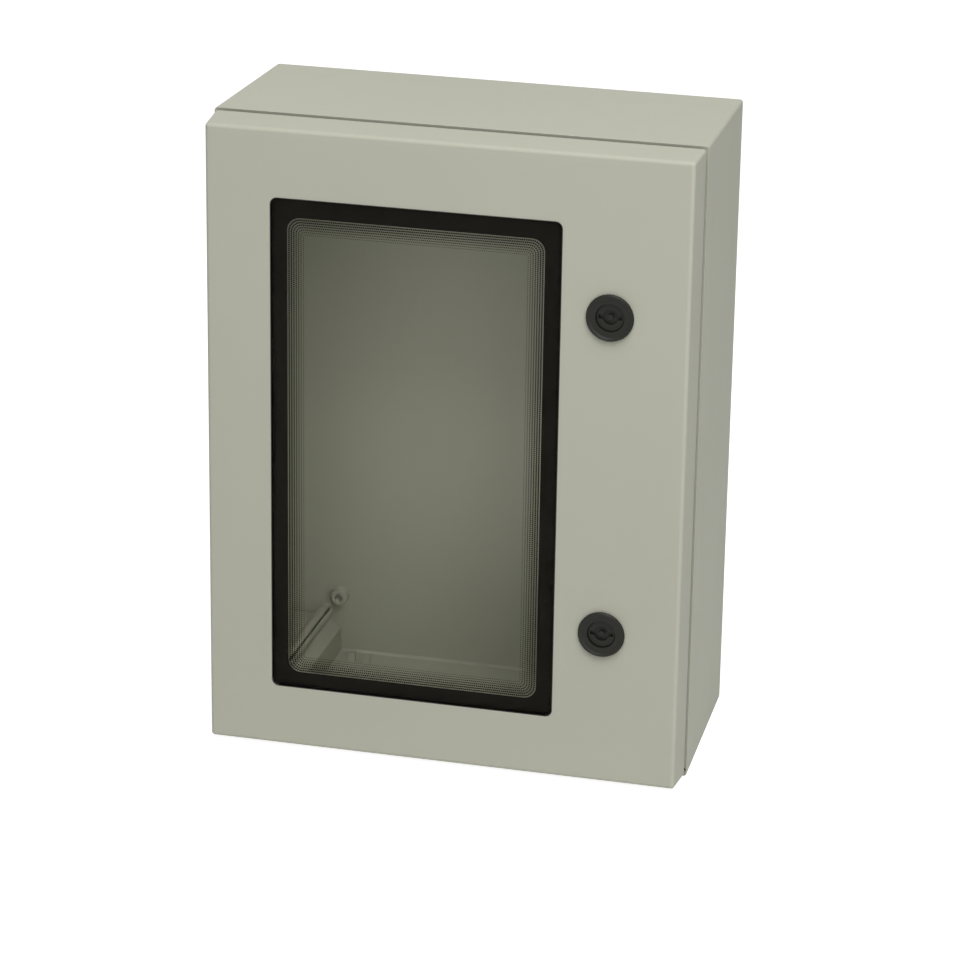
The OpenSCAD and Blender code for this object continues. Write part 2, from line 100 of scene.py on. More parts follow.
def rounded(corners, steps=5):
    """A profile with round corners. Each corner is (across, depth, outline radius, rounding)."""
    points = []
    for i, (across, depth, radius, rounding) in enumerate(corners):
        here = Vector((across, depth))
        if rounding == 0:
            points.append((across, depth, radius))
            continue
        before = (Vector(corners[i - 1][:2]) - here).normalized()
        after = (Vector(corners[(i + 1) % len(corners)][:2]) - here).normalized()
        half = before.angle(after) / 2
        centre = here + (before + after).normalized() * rounding / math.sin(half)
        start = here + before * rounding / math.tan(half) - centre
        end = here + after * rounding / math.tan(half) - centre
        sweep = start.angle(end)
        for k in range(steps + 1):
            near = math.sin((1 - k / steps) * sweep) / math.sin(sweep)
            far = math.sin(k / steps * sweep) / math.sin(sweep)
            point = centre + start * near + end * far
            points.append((point.x, point.y, radius + across - point.x))
    return points


def outline_ring(middle, width, height, inset, depth, radius, steps=8):
    """Points round a rectangle with round corners, which lies across the depth."""
    half_w = width / 2 - inset
    half_h = height / 2 - inset
    radius = min(max(radius, least_corner_r), half_w, half_h)
    ring = []
    for quarter, (side, end) in enumerate(((1, 1), (-1, 1), (-1, -1), (1, -1))):
        for k in range(steps + 1):
            angle = math.pi / 2 * (quarter + k / steps)
            ring.append((middle[0] + side * (half_w - radius) + radius * math.cos(angle), depth,
                         middle[1] + end * (half_h - radius) + radius * math.sin(angle)))
    return ring


def skin(name, rings, closed=False):
    """A solid through rings of points, whose ends are capped, or met where the rings close."""
    shape = bmesh.new()
    rows = [[shape.verts.new(point) for point in ring] for ring in rings]
    pairs = list(zip(rows, rows[1:]))
    if closed:
        pairs.append((rows[-1], rows[0]))
    else:
        shape.faces.new(rows[0])
        shape.faces.new(rows[-1])
    for one, two in pairs:
        for i in range(len(one)):
            shape.faces.new((one[i - 1], one[i], two[i], two[i - 1]))
    bmesh.ops.recalc_face_normals(shape, faces=shape.faces)
    mesh = bpy.data.meshes.new(name)
    shape.to_mesh(mesh)
    shape.free()
    piece = bpy.data.objects.new(name, mesh)
    bpy.context.scene.collection.objects.link(piece)
    return piece


def turned(name, middle, axis, corners, closed=False, count=48):
    """A solid turned round axis 1 (depth) or 2 (height). Each corner is (radius, place, 0, rounding)."""
    rings = []
    for radius, place, _ in rounded(corners):
        ring = []
        for k in range(count):
            angle = 2 * math.pi * k / count
            point = [middle[0] + radius * math.cos(angle), middle[1] + radius * math.sin(angle)]
            point.insert(axis, place)
            ring.append(point)
        rings.append(ring)
    return skin(name, rings, closed)


def settle(piece):
    """Turns a piece's modifiers into its plain mesh."""
    graph = bpy.context.evaluated_depsgraph_get()
    mesh = bpy.data.meshes.new_from_object(piece.evaluated_get(graph))
    piece.modifiers.clear()
    piece.data = mesh
    return piece


def soften(piece, width):
    """Rounds a piece's sharp edges."""
    bevel = piece.modifiers.new("soft_edges", "BEVEL")
    bevel.width = width
    bevel.segments = 2
    bevel.angle_limit = sharp_edge
    bevel.use_clamp_overlap = False
    return settle(piece)


def combine(piece, operation, *tools):
    """Joins tools to a piece (UNION) or cuts them out of it (DIFFERENCE), and removes the tools."""
    for tool in tools:
        step = piece.modifiers.new("combine", "BOOLEAN")
        step.operation = operation
        step.solver = "EXACT"
        step.object = tool
    settle(piece)
    for tool in tools:
        bpy.data.objects.remove(tool)
    return piece


def upright(name, outline, front, back):
    """A solid along the depth with that outline across it."""
    return skin(name, [[(x, depth, z) for x, z in outline] for depth in (front, back)])


def block(name, low, high):
    """A box between two corners."""
    outline = ((low[0], low[2]), (high[0], low[2]), (high[0], high[2]), (low[0], high[2]))
    return upright(name, outline, low[1], high[1])


def shade(piece, crease=35):
    """Smooth shading that keeps edges sharper than crease degrees, with flat faces left flat."""
    shape = bmesh.new()
    shape.from_mesh(piece.data)
    bmesh.ops.remove_doubles(shape, verts=shape.verts, dist=weld_gap)
    for face in shape.faces:
        face.smooth = True
    for edge in shape.edges:
        edge.smooth = edge.calc_face_angle(math.pi) < math.radians(crease)
    shape.to_mesh(piece.data)
    shape.free()
    weigh = piece.modifiers.new("flat_faces", "WEIGHTED_NORMAL")
    weigh.keep_sharp = True
    return settle(piece)


def dress(piece, body, slot, material, *nodes):
    """Gives a finished piece its material and its body, and hides the nodes that it stands for."""
    piece.data.materials.clear()
    piece.data.materials.append(material)
    piece.data.polygons.foreach_set("material_index", [0] * len(piece.data.polygons))
    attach(piece, body)
    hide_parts(*nodes)
    return piece


def paint(red, green, blue):
    """A screen colour, 0 to 255, as the linear colour that a shader takes."""
    parts = [value / 255 for value in (red, green, blue)]
    return [p / 12.92 if p <= 0.04045 else ((p + 0.055) / 1.055) ** 2.4 for p in parts] + [1]


def surface_grain():
    """Fine grain, slow drift and light handling marks, for any moulded or plated surface."""
    group = bpy.data.node_groups.new("surface_grain", "ShaderNodeTree")
    for label in ("Grain Size", "Drift Size"):
        group.interface.new_socket(label, in_out="INPUT", socket_type="NodeSocketFloat")
    for label in ("Grain", "Drift", "Marks"):
        group.interface.new_socket(label, in_out="OUTPUT", socket_type="NodeSocketFloat")
    inputs = group.nodes.new("NodeGroupInput")
    outputs = group.nodes.new("NodeGroupOutput")
    place = group.nodes.new("ShaderNodeTexCoord")
    for label, size, detail in (("Grain", "Grain Size", 3), ("Drift", "Drift Size", 2)):
        scale = group.nodes.new("ShaderNodeMath")
        scale.operation = "DIVIDE"
        scale.inputs[0].default_value = 1
        group.links.new(inputs.outputs[size], scale.inputs[1])
        noise = group.nodes.new("ShaderNodeTexNoise")
        noise.inputs["Detail"].default_value = detail
        group.links.new(place.outputs["Object"], noise.inputs["Vector"])
        group.links.new(scale.outputs[0], noise.inputs["Scale"])
        group.links.new(noise.outputs["Fac"], outputs.inputs[label])
    streak_scale = (90, 90, 14)
    streak = group.nodes.new("ShaderNodeMapping")
    streak.inputs["Scale"].default_value = streak_scale
    marks = group.nodes.new("ShaderNodeTexNoise")
    marks.inputs["Scale"].default_value = 1
    marks.inputs["Detail"].default_value = 6
    marks.inputs["Roughness"].default_value = 0.65
    group.links.new(place.outputs["Object"], streak.inputs["Vector"])
    group.links.new(streak.outputs["Vector"], marks.inputs["Vector"])
    group.links.new(marks.outputs["Fac"], outputs.inputs["Marks"])
    return group


GRAIN = surface_grain()


def grained(name, colours, roughness, grain_size, grain_depth, drift_size=0.15, metallic=0, specular=0.5):
    """A finish with two close colours that drift, grain in relief and marks in its roughness."""
    material = bpy.data.materials.new(name)
    material.use_nodes = True
    nodes = material.node_tree.nodes
    links = material.node_tree.links
    shader = nodes["Principled BSDF"]
    shader.inputs["Metallic"].default_value = metallic
    shader.inputs["Specular IOR Level"].default_value = specular
    grain = nodes.new("ShaderNodeGroup")
    grain.node_tree = GRAIN
    grain.inputs["Grain Size"].default_value = grain_size
    grain.inputs["Drift Size"].default_value = drift_size
    tone = nodes.new("ShaderNodeMix")
    tone.data_type = "RGBA"
    tone.inputs["A"].default_value = colours[0]
    tone.inputs["B"].default_value = colours[1]
    links.new(grain.outputs["Drift"], tone.inputs["Factor"])
    links.new(tone.outputs["Result"], shader.inputs["Base Color"])
    wear = nodes.new("ShaderNodeMapRange")
    wear.inputs["To Min"].default_value = roughness[0]
    wear.inputs["To Max"].default_value = roughness[1]
    links.new(grain.outputs["Marks"], wear.inputs["Value"])
    links.new(wear.outputs["Result"], shader.inputs["Roughness"])
    relief = nodes.new("ShaderNodeBump")
    relief.inputs["Distance"].default_value = grain_depth
    relief.inputs["Strength"].default_value = 1
    links.new(grain.outputs["Grain"], relief.inputs["Height"])
    links.new(relief.outputs["Normal"], shader.inputs["Normal"])
    return material


case_plastic = grained("case_plastic", (paint(171, 172, 157), paint(175, 176, 161)), roughness=(0.56, 0.72),
                       grain_size=0.55 * MM, grain_depth=0.012 * MM, specular=0.28)

case_profile = rounded([
    (case_draft + back_round_r + cap_margin, 0, cap_corner_r, 0),
    (case_draft, 0, case_corner_r, back_round_r),
    (0, rim_y, case_corner_r, crisp_edge),
    (rim_wall, rim_y + rim_fall, least_corner_r, crisp_edge),
    (rim_wall, gutter_y, least_corner_r, soft_edge),
    (collar_side, gutter_y, collar_corner_r + collar_wall, soft_edge),
    (collar_side, collar_tip_y, collar_corner_r + collar_wall, soft_edge),
    (opening_side, collar_tip_y, collar_corner_r, soft_edge),
    (opening_side, floor_back_y, collar_corner_r, soft_edge),
    (case_wall, floor_back_y, inner_corner_r, soft_edge),
    (case_draft + case_wall, back_in_y, inner_corner_r, back_fillet_r),
    (case_draft + case_wall + cap_margin, back_in_y, cap_corner_r, 0),
])
case_body = skin("case_moulding", [outline_ring((0, 0), case_w, case_h, inset, depth, radius)
                                   for inset, depth, radius in case_profile])

# Four hollow columns stand in the case's corners. Each has a slit screw channel for a mounting
# plate on its inner corner, and a raised collar with a wall hole stands beside it on the back.
column_w = 45 * MM
column_h = 30 * MM
column_cut = 8 * MM
column_wall = 3 * MM
column_setback = 20 * MM
column_y = floor_back_y + column_setback
channel_r = 5 * MM
channel_bore_r = 2.2 * MM
channel_slit = 1.4 * MM
channel_land = 0.4 * MM
channel_across = column_w - column_cut - channel_r / 2
channel_up = column_h + channel_bore_r + channel_land
boss_r = 5.3 * MM
boss_h = 7 * MM
hole_r = 2.75 * MM
hole_side = 45 * MM
root = 1 * MM
column_root = case_draft + case_wall / 4
column_bevel = column_root + case_corner_r
pocket = case_draft + case_wall + column_wall
column_outline = ((column_root, column_bevel), (column_root, column_h),
                  (column_w - column_cut, column_h), (column_w, column_h - column_cut),
                  (column_w, column_root), (column_bevel, column_root))
pocket_outline = ((pocket, pocket), (pocket, column_h - column_wall),
                  (column_w - column_cut - column_wall / 2, column_h - column_wall),
                  (column_w - column_wall, column_h - column_cut - column_wall / 2),
                  (column_w - column_wall, pocket))


def from_corner(side, end, across, up):
    """The place of a point that is measured from one of the case's four corners."""
    return side * (case_w / 2 - across), end * (case_h / 2 - up)


for side in (-1, 1):
    for end in (-1, 1):
        column_places = [from_corner(side, end, *point) for point in column_outline]
        pocket_places = [from_corner(side, end, *point) for point in pocket_outline]
        middle = from_corner(side, end, channel_across, channel_up)
        column = soften(upright("column", column_places, column_y, back_in_y + root), soft_edge)
        channel = turned("channel", middle, 1, [
            (channel_r - soft_edge, column_y, 0, 0), (channel_r, column_y + soft_edge, 0, 0),
            (channel_r, back_in_y + root, 0, 0)], count=32)
        combine(column, "UNION", channel)
        hollow = upright("hollow", pocket_places, column_y - root, back_in_y - column_wall)
        bore = turned("bore", middle, 1, [(channel_bore_r, column_y - root, 0, 0),
                                          (channel_bore_r, back_in_y - root, 0, 0)], count=24)
        slit = block("slit", (0, column_y - root, -channel_slit / 2),
                     (channel_r + root, back_in_y - root, channel_slit / 2))
        turn = Matrix.Rotation(-math.atan2(-end, -side), 4, "Y")
        slit.data.transform(Matrix.Translation((middle[0], 0, middle[1])) @ turn)
        combine(column, "DIFFERENCE", soften(hollow, soft_edge), bore, slit)
        hole_at = from_corner(side, end, hole_side, hole_side)
        boss = turned("boss", hole_at, 1, [
            (boss_r - soft_edge, back_in_y - boss_h, 0, 0), (boss_r, back_in_y - boss_h + soft_edge, 0, 0),
            (boss_r, back_in_y - soft_edge, 0, 0), (boss_r + soft_edge, back_in_y + root / 4, 0, 0),
        ], count=32)
        hole = turned("hole", hole_at, 1, [
            (hole_r, back_in_y - boss_h - root, 0, 0), (hole_r, root, 0, 0)], count=32)
        combine(case_body, "UNION", column, boss)
        combine(case_body, "DIFFERENCE", hole)

# Knuckles on the outside of the collar carry the hinge pins, and two pairs of small posts on
# the floor stop a mounting plate.
pin_low, pin_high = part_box("hinge_pin_upper")
hinge_x = (pin_low.x + pin_high.x) / 2
hinge_y = (pin_low.y + pin_high.y) / 2
knuckle_r = 3.4 * MM
knuckle_edge = 0.3 * MM
ear_h = 8 * MM
arm_inset = 0.05 * MM
arm_back = 0.4 * MM
pin_head_t = 1.2 * MM
post_w = 5 * MM
post_h = 7 * MM
post_pitch = 10 * MM
post_side = 62 * MM
post_edge = 0.4 * MM
post_setback = 18 * MM
post_y = back_in_y - post_setback
for level in ("upper", "lower"):
    pin_low, pin_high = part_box("hinge_pin_" + level)
    for bottom in (pin_low.z, pin_high.z - pin_head_t - ear_h):
        ear = turned("ear", (hinge_x, hinge_y), 2, [
            (knuckle_r - knuckle_edge, bottom, 0, 0), (knuckle_r, bottom + knuckle_edge, 0, 0),
            (knuckle_r, bottom + ear_h - knuckle_edge, 0, 0),
            (knuckle_r - knuckle_edge, bottom + ear_h, 0, 0)], count=32)
        arm = block("arm", (hinge_x, hinge_y - knuckle_r + arm_inset, bottom + arm_inset),
                    (collar_side - case_w / 2 + collar_wall / 2, hinge_y + arm_back,
                     bottom + ear_h - arm_inset))
        combine(case_body, "UNION", combine(ear, "UNION", soften(arm, knuckle_edge)))
for side in (-1, 1):
    for place in (-0.5, 0.5):
        left = side * (case_w / 2 - post_side) + place * post_pitch - post_w / 2
        floor_z = case_low.z + case_draft + case_wall / 2
        post = block("post", (left, post_y, floor_z),
                     (left + post_w, post_y + post_w / 2, floor_z + case_wall / 2 + post_h))
        combine(case_body, "UNION", soften(post, post_edge))
dress(shade(case_body), "case", "case_plastic", case_plastic, "case_shell")

# Hinge pins: two turned steel pins with a small head, zinc-plated, pressed into the case's
# knuckles from above.
plated_steel = grained("plated_steel", (paint(196, 198, 202), paint(208, 210, 212)), roughness=(0.24, 0.42),
                       grain_size=0.2 * MM, grain_depth=0.002 * MM, drift_size=0.02, metallic=1)
pin_edge = 0.15 * MM
flat_angle = math.radians(0.5)


def worked_copy(node, name, edge):
    """A solid of the frame with its flat faces whole and its edges rounded."""
    piece = bpy.data.objects.new(name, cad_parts[node].data.copy())
    bpy.context.scene.collection.objects.link(piece)
    shape = bmesh.new()
    shape.from_mesh(piece.data)
    bmesh.ops.remove_doubles(shape, verts=shape.verts, dist=weld_gap)
    bmesh.ops.dissolve_limit(shape, angle_limit=flat_angle, verts=shape.verts, edges=shape.edges)
    shape.to_mesh(piece.data)
    shape.free()
    return soften(piece, edge)


for level in ("upper", "lower"):
    pin = worked_copy("hinge_pin_" + level, "hinge_steel_pin_" + level, pin_edge)
    dress(shade(pin), "case", "plated_steel", plated_steel, "hinge_pin_" + level)

# Door panel: a shallow tray in the same plastic as the case, with a rounded front edge. A
# recess takes the window, two round holes take the locks, and ribs inside hold the gasket. On the
# hinge side pads carry the hinge leaves, and the edge is rounded off to swing clear of the rim.
door_wall = 3 * MM
skirt_wall = 2.5 * MM
door_inset = door_low.x - case_low.x
door_draft = 1.5 * MM
door_corner_r = 2 * MM
skirt_corner_r = door_corner_r - MM
skirt_fillet_r = 1 * MM
front_round_r = 2.5 * MM
rib_t = 2 * MM
rib_gap = 0.1 * MM
rib_clear = 0.4 * MM
rib_margin = 2 * MM
face_y = door_low.y
face_in_y = face_y + door_wall
skirt_end_y = door_high.y
rib_end_y = hinge_y - knuckle_r - rib_clear
rib_out = gasket_side - rib_gap - rib_t
rib_in = gasket_side + gasket_w + rib_gap
pane_low, pane_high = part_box("window_pane")
bond_low, bond_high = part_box("window_bond")
pane_w = pane_high.x - pane_low.x
pane_h = pane_high.z - pane_low.z
pane_middle = ((pane_low.x + pane_high.x) / 2, (pane_low.z + pane_high.z) / 2)
pane_corner_r = 4 * MM
pane_gap = 0.5 * MM
frame_wall = 2.5 * MM
ledge_w = 8.5 * MM
ledge_t = 2.5 * MM
ledge_y = bond_high.y
recess_margin = 3 * MM
recess_edge = 0.1 * MM
fine_edge = 0.4 * MM
tray_profile = rounded([
    (door_inset + door_draft + front_round_r + cap_margin, face_y, cap_corner_r, 0),
    (door_inset + door_draft, face_y, door_corner_r, front_round_r),
    (door_inset, skirt_end_y, door_corner_r, crisp_edge),
    (door_inset + skirt_wall, skirt_end_y, skirt_corner_r, crisp_edge),
    (door_inset + door_draft + skirt_wall, face_in_y, skirt_corner_r, skirt_fillet_r),
    (rib_out, face_in_y, collar_corner_r + rib_t, fine_edge),
    (rib_out, rib_end_y, collar_corner_r + rib_t, fine_edge),
    (rib_out + rib_t, rib_end_y, collar_corner_r, fine_edge),
    (rib_out + rib_t, face_in_y, collar_corner_r, fine_edge),
    (rib_in, face_in_y, collar_corner_r + rib_t, fine_edge),
    (rib_in, rib_end_y, collar_corner_r + rib_t, fine_edge),
    (rib_in + rib_t, rib_end_y, collar_corner_r, fine_edge),
    (rib_in + rib_t, face_in_y, collar_corner_r, fine_edge),
    (rib_in + rib_t + rib_margin, face_in_y, collar_corner_r, 0),
])
window_profile = rounded([
    (-pane_gap - frame_wall - recess_margin, face_in_y, pane_corner_r + 2 * recess_margin, 0),
    (-pane_gap - frame_wall, face_in_y, pane_corner_r + pane_gap + frame_wall, soft_edge),
    (-pane_gap - frame_wall, ledge_y + ledge_t, pane_corner_r + pane_gap + frame_wall, soft_edge),
    (ledge_w, ledge_y + ledge_t, pane_corner_r, fine_edge),
    (ledge_w, ledge_y, pane_corner_r, fine_edge),
    (-pane_gap, ledge_y, pane_corner_r + pane_gap, recess_edge),
    (-pane_gap, face_y, pane_corner_r + pane_gap, recess_edge),
    (-pane_gap - recess_margin, face_y, pane_corner_r + recess_margin, 0),
])
door_rings = [outline_ring((0, 0), case_w, case_h, inset, depth, radius)
              for inset, depth, radius in tray_profile]
door_rings += [outline_ring(pane_middle, pane_w, pane_h, inset, depth, radius)
               for inset, depth, radius in window_profile]
door_tray = skin("door_moulding", door_rings, closed=True)
cut_past = 1 * MM
swing_clear = 0.4 * MM
swing_r = rim_y - hinge_y - swing_clear
relief = block("relief", (case_low.x - cut_past, hinge_y, case_low.z - cut_past),
               (hinge_x, rim_y, case_high.z + cut_past))
swing = turned("swing", (hinge_x, hinge_y), 2, [
    (swing_r, case_low.z - 2 * cut_past, 0, 0), (swing_r, case_high.z + 2 * cut_past, 0, 0)], count=96)
combine(door_tray, "DIFFERENCE", combine(relief, "DIFFERENCE", swing))
lock_hole_r = 11.2 * MM
for level in ("upper", "lower"):
    leaf_low, leaf_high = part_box("hinge_leaf_" + level)
    pad = block("pad", (leaf_low.x, face_in_y - root, leaf_low.z), (leaf_high.x, leaf_low.y, leaf_high.z))
    combine(door_tray, "UNION", soften(pad, fine_edge))
    insert_low, insert_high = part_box("lock_insert_" + level)
    lock_at = ((insert_low.x + insert_high.x) / 2, (insert_low.z + insert_high.z) / 2)
    hole = turned("hole", lock_at, 1, [
        (lock_hole_r, face_y - cut_past, 0, 0), (lock_hole_r, face_in_y + cut_past, 0, 0)])
    combine(door_tray, "DIFFERENCE", hole)
shade(door_tray)

# The upright front edges of the door carry a painted highlight, a colour lighter than the face,
# most where the round turns half-way from the face to the side.
highlight_colour = paint(181, 182, 167)
highlight_weights = door_tray.data.attributes.new("painted_highlight", "FLOAT", "POINT")
edge_x = door_high.x - door_draft - front_round_r
for vertex in door_tray.data.vertices:
    if abs(vertex.co.x) > edge_x and vertex.co.y < face_y + front_round_r:
        highlight_weights.data[vertex.index].value = abs(2 * vertex.normal.x * vertex.normal.y)
# The door's plastic is the case's plastic with the painted edge highlight mixed into its colour.
door_plastic_highlit = case_plastic.copy()
nodes = door_plastic_highlit.node_tree.nodes
links = door_plastic_highlit.node_tree.links
shader = nodes["Principled BSDF"]
highlight_mark = nodes.new("ShaderNodeAttribute")
highlight_mark.attribute_name = "painted_highlight"
highlight_tone = nodes.new("ShaderNodeMix")
highlight_tone.data_type = "RGBA"
links.new(highlight_mark.outputs["Fac"], highlight_tone.inputs["Factor"])
links.new(shader.inputs["Base Color"].links[0].from_socket, highlight_tone.inputs["A"])
highlight_tone.inputs["B"].default_value = highlight_colour
links.new(highlight_tone.outputs["Result"], shader.inputs["Base Color"])
dress(door_tray, "door", "case_plastic", door_plastic_highlit, "door_panel")

# Window pane: clear acrylic sheet with polished edges, set in the door's recess almost flush
# with the face. It mirrors more the flatter it is looked at, and dims the light that enters
# flat, so that the inside of the case stays even.
pane_edge = 0.15 * MM
pane_cap_r = 1 * MM
clear_tint = paint(240, 240, 237)
flat_tint = paint(178, 178, 175)
lamp_tint = paint(160, 160, 158)
window_clear = bpy.data.materials.new("window_clear")
window_clear.use_nodes = True
nodes = window_clear.node_tree.nodes
links = window_clear.node_tree.links
glass = nodes["Principled BSDF"]
glass.inputs["Roughness"].default_value = 0
glass.inputs["IOR"].default_value = 1.001
glass.inputs["Transmission Weight"].default_value = 1
slant = nodes.new("ShaderNodeLayerWeight")
slant.inputs["Blend"].default_value = 0.5
gloss = nodes.new("ShaderNodeMapRange")
gloss.interpolation_type = "SMOOTHSTEP"
gloss.inputs["From Min"].default_value = 0.15
links.new(slant.outputs["Facing"], gloss.inputs["Value"])
links.new(gloss.outputs["Result"], glass.inputs["Coat Weight"])
path = nodes.new("ShaderNodeLightPath")
dimming = nodes.new("ShaderNodeMapRange")
dimming.interpolation_type = "SMOOTHSTEP"
dimming.inputs["From Min"].default_value = 0.1
dimming.inputs["From Max"].default_value = 0.5
links.new(slant.outputs["Facing"], dimming.inputs["Value"])
links.new(path.outputs["Diffuse Depth"], dimming.inputs["To Max"])
tint = nodes.new("ShaderNodeMix")
tint.data_type = "RGBA"
tint.inputs["A"].default_value = clear_tint
tint.inputs["B"].default_value = flat_tint
links.new(dimming.outputs["Result"], tint.inputs["Factor"])
links.new(tint.outputs["Result"], glass.inputs["Base Color"])
through = nodes.new("ShaderNodeBsdfTransparent")
through.inputs["Color"].default_value = lamp_tint
choose = nodes.new("ShaderNodeMixShader")
links.new(path.outputs["Is Shadow Ray"], choose.inputs["Fac"])
links.new(glass.outputs["BSDF"], choose.inputs[1])
links.new(through.outputs["BSDF"], choose.inputs[2])
links.new(choose.outputs["Shader"], nodes["Material Output"].inputs["Surface"])

pane_profile = rounded([
    (cap_margin, pane_low.y, pane_cap_r, 0),
    (0, pane_low.y, pane_corner_r, pane_edge),
    (0, pane_high.y, pane_corner_r, pane_edge),
    (cap_margin, pane_high.y, pane_cap_r, 0),
])
pane = skin("window_sheet", [outline_ring(pane_middle, pane_w, pane_h, inset, depth, radius)
                             for inset, depth, radius in pane_profile])
dress(shade(pane), "door", "window_glass", window_clear, "window_pane")

# Window print: black screen print on the back of the pane, a solid border that fades inwards
# in rows of shrinking dots.
print_low, print_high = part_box("window_print")
side_border = 9.9 * MM
end_border = 10.5 * MM
clear_left = 0.6 * MM
clear_drop = 1.5 * MM
clear_w = pane_w - 2 * side_border
clear_h = pane_h - 2 * end_border
clear_middle = (pane_middle[0] - clear_left, pane_middle[1] - clear_drop)
print_corner_r = 8 * MM
print_inset = 0.1 * MM
ink_gap = 0.03 * MM
ink_low = print_low.y + ink_gap
print_black = grained("print_black", (paint(28, 27, 25), paint(33, 32, 29)), roughness=(0.5, 0.6),
                      grain_size=0.3 * MM, grain_depth=0.001 * MM, drift_size=0.03, specular=0)
border = skin("window_print_border", [
    outline_ring(pane_middle, pane_w, pane_h, print_inset, ink_low, pane_corner_r),
    outline_ring(clear_middle, clear_w, clear_h, 0, ink_low, print_corner_r),
    outline_ring(clear_middle, clear_w, clear_h, 0, print_high.y, print_corner_r),
    outline_ring(pane_middle, pane_w, pane_h, print_inset, print_high.y, pane_corner_r),
], closed=True)
dress(shade(border), "door", "print_black", print_black, "window_print")


def dot_rows():
    """Rows of printed dots that follow a round-cornered rectangle, each row with smaller dots."""
    tree = bpy.data.node_groups.new("dot_rows", "GeometryNodeTree")
    kinds = {"Rows": "NodeSocketInt", "Ink": "NodeSocketMaterial"}
    for label in ("Width", "Height", "Corner", "Corner Loss", "Rows", "First Row", "Row Pitch", "Dot Pitch",
                  "First Radius", "Last Radius", "Shrink", "Thickness", "Ink"):
        tree.interface.new_socket(label, in_out="INPUT", socket_type=kinds.get(label, "NodeSocketFloat"))
    tree.interface.new_socket("Geometry", in_out="OUTPUT", socket_type="NodeSocketGeometry")
    inputs = tree.nodes.new("NodeGroupInput").outputs
    outputs = tree.nodes.new("NodeGroupOutput")
    corner_points = 8
    dot_sides = 8

    def put(socket, value):
        """Links a socket to another, or sets its number."""
        if isinstance(value, bpy.types.NodeSocket):
            tree.links.new(value, socket)
        else:
            socket.default_value = value

    def sum_of(operation, one, two):
        """A number worked out from two others."""
        step = tree.nodes.new("ShaderNodeMath")
        step.operation = operation
        put(step.inputs[0], one)
        put(step.inputs[1], two)
        return step.outputs[0]

    start = tree.nodes.new("GeometryNodeRepeatInput")
    finish = tree.nodes.new("GeometryNodeRepeatOutput")
    start.pair_with_output(finish)
    finish.repeat_items.new("INT", "Row")
    put(start.inputs["Iterations"], inputs["Rows"])
    row = start.outputs["Row"]
    put(finish.inputs["Row"], sum_of("ADD", row, 1))
    inset = sum_of("MULTIPLY", sum_of("ADD", row, inputs["First Row"]), inputs["Row Pitch"])
    line = tree.nodes.new("GeometryNodeCurvePrimitiveQuadrilateral")
    twice = sum_of("MULTIPLY", inset, 2)
    put(line.inputs["Width"], sum_of("SUBTRACT", inputs["Width"], twice))
    put(line.inputs["Height"], sum_of("SUBTRACT", inputs["Height"], twice))
    bend = tree.nodes.new("GeometryNodeFilletCurve")
    bend.mode = "POLY"
    put(bend.inputs["Count"], corner_points)
    corner_loss = sum_of("MULTIPLY", inset, inputs["Corner Loss"])
    put(bend.inputs["Radius"], sum_of("SUBTRACT", inputs["Corner"], corner_loss))
    put(bend.inputs["Curve"], line.outputs["Curve"])
    spread = tree.nodes.new("GeometryNodeResampleCurve")
    spread.mode = "LENGTH"
    put(spread.inputs["Length"], inputs["Dot Pitch"])
    put(spread.inputs["Curve"], bend.outputs["Curve"])
    dot = tree.nodes.new("GeometryNodeMeshCylinder")
    put(dot.inputs["Vertices"], dot_sides)
    put(dot.inputs["Radius"], 1)
    put(dot.inputs["Depth"], inputs["Thickness"])
    passed = sum_of("DIVIDE", row, sum_of("SUBTRACT", inputs["Rows"], 1))
    share = sum_of("POWER", passed, inputs["Shrink"])
    change = sum_of("SUBTRACT", inputs["Last Radius"], inputs["First Radius"])
    radius = sum_of("ADD", inputs["First Radius"], sum_of("MULTIPLY", share, change))
    size = tree.nodes.new("ShaderNodeCombineXYZ")
    put(size.inputs["X"], radius)
    put(size.inputs["Y"], radius)
    put(size.inputs["Z"], 1)
    scatter = tree.nodes.new("GeometryNodeInstanceOnPoints")
    put(scatter.inputs["Points"], spread.outputs["Curve"])
    put(scatter.inputs["Instance"], dot.outputs["Mesh"])
    put(scatter.inputs["Scale"], size.outputs["Vector"])
    gather = tree.nodes.new("GeometryNodeJoinGeometry")
    tree.links.new(scatter.outputs["Instances"], gather.inputs["Geometry"])
    tree.links.new(start.outputs["Geometry"], gather.inputs["Geometry"])
    tree.links.new(gather.outputs["Geometry"], finish.inputs["Geometry"])
    plain = tree.nodes.new("GeometryNodeRealizeInstances")
    put(plain.inputs["Geometry"], finish.outputs["Geometry"])
    ink = tree.nodes.new("GeometryNodeSetMaterial")
    put(ink.inputs["Geometry"], plain.outputs["Geometry"])
    put(ink.inputs["Material"], inputs["Ink"])
    put(outputs.inputs["Geometry"], ink.outputs["Geometry"])
    return tree


dots = bpy.data.objects.new("window_print_dots", bpy.data.meshes.new("window_print_dots"))
bpy.context.scene.collection.objects.link(dots)
rows = dots.modifiers.new("dot_rows", "NODES")
rows.node_group = dot_rows()
dot_sizes = {"Width": clear_w, "Height": clear_h, "Corner": print_corner_r, "Corner Loss": 0.68,
             "Rows": 7, "First Row": 0.77, "Row Pitch": 1.49 * MM, "Dot Pitch": 1.29 * MM,
             "First Radius": 0.58 * MM, "Last Radius": 0.25 * MM, "Shrink": 1.4,
             "Thickness": print_high.y - ink_low, "Ink": print_black}
for socket in rows.node_group.interface.items_tree:
    if socket.in_out == "INPUT":
        rows[socket.identifier] = dot_sizes[socket.name]
settle(dots)
dots.data.transform(Matrix.Translation((clear_middle[0], (ink_low + print_high.y) / 2, clear_middle[1]))
                    @ Matrix.Rotation(math.pi / 2, 4, "X"))
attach(dots, "door")

